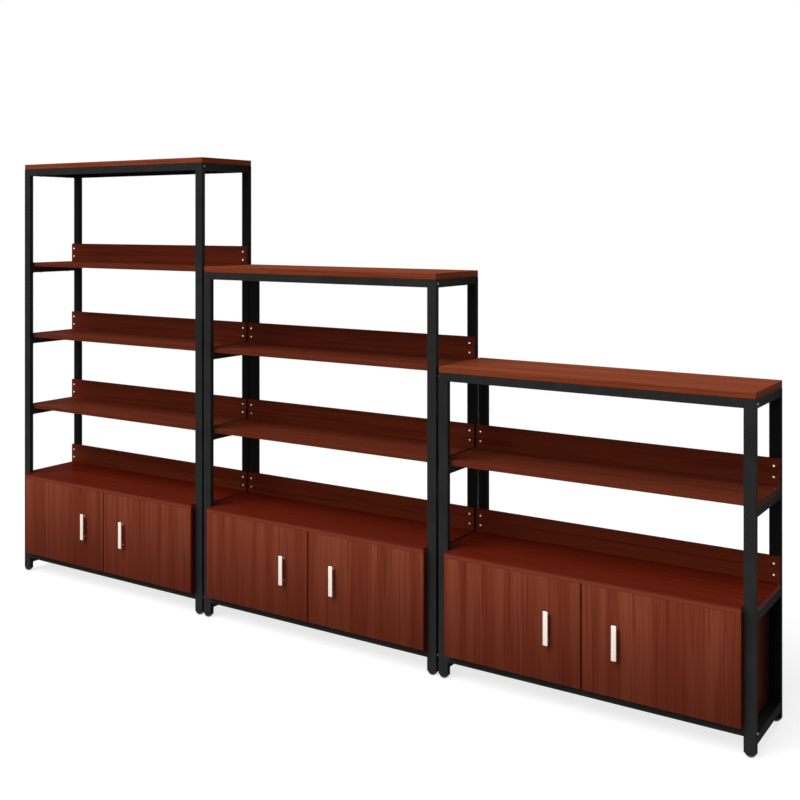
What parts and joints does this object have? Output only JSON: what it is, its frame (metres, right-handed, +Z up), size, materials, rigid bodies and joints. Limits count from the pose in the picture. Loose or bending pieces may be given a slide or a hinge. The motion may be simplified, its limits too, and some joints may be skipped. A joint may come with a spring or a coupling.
{
  "type": "bakery display cabinet",
  "caption": "Stepped run of open steel-framed display shelves with wooden boards and back lips, over base cabinets with pivoting doors, bar handles and levelling feet.",
  "frame": {"origin": "on the floor, under the centre of the run's outline", "axes": "+Z up, +X along the run from the tall unit to the low one, +Y from the doors to the back"},
  "size_m": [3.5708, 0.382, 1.996],
  "materials": {
    "black_steel": "black powder coat, satin",
    "top_wood": "red-brown wood-grain laminate, satin",
    "shelf_wood": "red-brown wood-grain laminate, satin",
    "lip_wood": "red-brown wood-grain laminate, satin",
    "carcass_wood": "red-brown wood-grain laminate, matt",
    "door_wood": "red-brown laminate with upright straight grain, satin",
    "handle_metal": "champagne satin",
    "foot_plastic": "black moulded plastic",
    "insert_plastic": "black moulded plastic",
    "pivot_steel": "black powder coat, satin",
    "catch_plastic": "brown moulded plastic",
    "bolt_steel": "zinc plated",
    "screw_steel": "nickel plated"
  },
  "bodies": {
    "units": {"tall_side_frames": "black_steel", "tall_long_rails": "black_steel", "tall_top_board": "top_wood", "tall_shelf_1": "shelf_wood", "tall_shelf_2": "shelf_wood", "tall_shelf_3": "shelf_wood", "tall_back_lips": "lip_wood", "tall_cabinet_top": "shelf_wood", "tall_cabinet_sides": "carcass_wood", "tall_cabinet_bottom": "carcass_wood", "tall_cabinet_back": "carcass_wood", "middle_side_frames": "black_steel", "middle_long_rails": "black_steel", "middle_top_board": "top_wood", "middle_shelf_1": "shelf_wood", "middle_shelf_2": "shelf_wood", "middle_back_lips": "lip_wood", "middle_cabinet_top": "shelf_wood", "middle_cabinet_sides": "carcass_wood", "middle_cabinet_bottom": "carcass_wood", "middle_cabinet_back": "carcass_wood", "low_side_frames": "black_steel", "low_long_rails": "black_steel", "low_top_board": "top_wood", "low_shelf_1": "shelf_wood", "low_back_lips": "lip_wood", "low_cabinet_top": "shelf_wood", "low_cabinet_sides": "carcass_wood", "low_cabinet_bottom": "carcass_wood", "low_cabinet_back": "carcass_wood", "foot_inserts": "insert_plastic", "pivot_plates": "pivot_steel", "door_catches": "catch_plastic", "frame_bolts": "bolt_steel", "board_screws": "screw_steel"},
    "tall_left_door": {"tall_left_door": "door_wood", "tall_left_handle": "handle_metal"},
    "tall_front_left_foot": {"tall_front_left_foot": "foot_plastic"},
    "tall_rear_left_foot": {"tall_rear_left_foot": "foot_plastic"},
    "tall_right_door": {"tall_right_door": "door_wood", "tall_right_handle": "handle_metal"},
    "tall_front_right_foot": {"tall_front_right_foot": "foot_plastic"},
    "tall_rear_right_foot": {"tall_rear_right_foot": "foot_plastic"},
    "middle_left_door": {"middle_left_door": "door_wood", "middle_left_handle": "handle_metal"},
    "middle_front_left_foot": {"middle_front_left_foot": "foot_plastic"},
    "middle_rear_left_foot": {"middle_rear_left_foot": "foot_plastic"},
    "middle_right_door": {"middle_right_door": "door_wood", "middle_right_handle": "handle_metal"},
    "middle_front_right_foot": {"middle_front_right_foot": "foot_plastic"},
    "middle_rear_right_foot": {"middle_rear_right_foot": "foot_plastic"},
    "low_left_door": {"low_left_door": "door_wood", "low_left_handle": "handle_metal"},
    "low_front_left_foot": {"low_front_left_foot": "foot_plastic"},
    "low_rear_left_foot": {"low_rear_left_foot": "foot_plastic"},
    "low_right_door": {"low_right_door": "door_wood", "low_right_handle": "handle_metal"},
    "low_front_right_foot": {"low_front_right_foot": "foot_plastic"},
    "low_rear_right_foot": {"low_rear_right_foot": "foot_plastic"}
  },
  "joints": [
    {"name": "tall_left_door_swing", "type": "hinge", "parent": "units", "child": "tall_left_door", "pos_m": [-1.7299, -0.161, 0.097], "axis": [0, 0, -1], "range_deg": [0, 90]},
    {"name": "tall_front_left_foot_turn", "type": "hinge", "parent": "units", "child": "tall_front_left_foot", "pos_m": [-1.7604, -0.134, 0], "axis": [0, 0, 1], "continuous": true},
    {"name": "tall_rear_left_foot_turn", "type": "hinge", "parent": "units", "child": "tall_rear_left_foot", "pos_m": [-1.7604, 0.173, 0], "axis": [0, 0, 1], "continuous": true},
    {"name": "tall_right_door_swing", "type": "hinge", "parent": "units", "child": "tall_right_door", "pos_m": [-0.6509, -0.161, 0.097], "axis": [0, 0, 1], "range_deg": [0, 90]},
    {"name": "tall_front_right_foot_turn", "type": "hinge", "parent": "units", "child": "tall_front_right_foot", "pos_m": [-0.6204, -0.134, 0], "axis": [0, 0, 1], "continuous": true},
    {"name": "tall_rear_right_foot_turn", "type": "hinge", "parent": "units", "child": "tall_rear_right_foot", "pos_m": [-0.6204, 0.173, 0], "axis": [0, 0, 1], "continuous": true},
    {"name": "middle_left_door_swing", "type": "hinge", "parent": "units", "child": "middle_left_door", "pos_m": [-0.5395, -0.161, 0.097], "axis": [0, 0, -1], "range_deg": [0, 90]},
    {"name": "middle_front_left_foot_turn", "type": "hinge", "parent": "units", "child": "middle_front_left_foot", "pos_m": [-0.57, -0.134, 0], "axis": [0, 0, 1], "continuous": true},
    {"name": "middle_rear_left_foot_turn", "type": "hinge", "parent": "units", "child": "middle_rear_left_foot", "pos_m": [-0.57, 0.173, 0], "axis": [0, 0, 1], "continuous": true},
    {"name": "middle_right_door_swing", "type": "hinge", "parent": "units", "child": "middle_right_door", "pos_m": [0.5395, -0.161, 0.097], "axis": [0, 0, 1], "range_deg": [0, 90]},
    {"name": "middle_front_right_foot_turn", "type": "hinge", "parent": "units", "child": "middle_front_right_foot", "pos_m": [0.57, -0.134, 0], "axis": [0, 0, 1], "continuous": true},
    {"name": "middle_rear_right_foot_turn", "type": "hinge", "parent": "units", "child": "middle_rear_right_foot", "pos_m": [0.57, 0.173, 0], "axis": [0, 0, 1], "continuous": true},
    {"name": "low_left_door_swing", "type": "hinge", "parent": "units", "child": "low_left_door", "pos_m": [0.6509, -0.161, 0.097], "axis": [0, 0, -1], "range_deg": [0, 90]},
    {"name": "low_front_left_foot_turn", "type": "hinge", "parent": "units", "child": "low_front_left_foot", "pos_m": [0.6204, -0.134, 0], "axis": [0, 0, 1], "continuous": true},
    {"name": "low_rear_left_foot_turn", "type": "hinge", "parent": "units", "child": "low_rear_left_foot", "pos_m": [0.6204, 0.173, 0], "axis": [0, 0, 1], "continuous": true},
    {"name": "low_right_door_swing", "type": "hinge", "parent": "units", "child": "low_right_door", "pos_m": [1.7299, -0.161, 0.097], "axis": [0, 0, 1], "range_deg": [0, 90]},
    {"name": "low_front_right_foot_turn", "type": "hinge", "parent": "units", "child": "low_front_right_foot", "pos_m": [1.7604, -0.134, 0], "axis": [0, 0, 1], "continuous": true},
    {"name": "low_rear_right_foot_turn", "type": "hinge", "parent": "units", "child": "low_rear_right_foot", "pos_m": [1.7604, 0.173, 0], "axis": [0, 0, 1], "continuous": true}
  ]
}
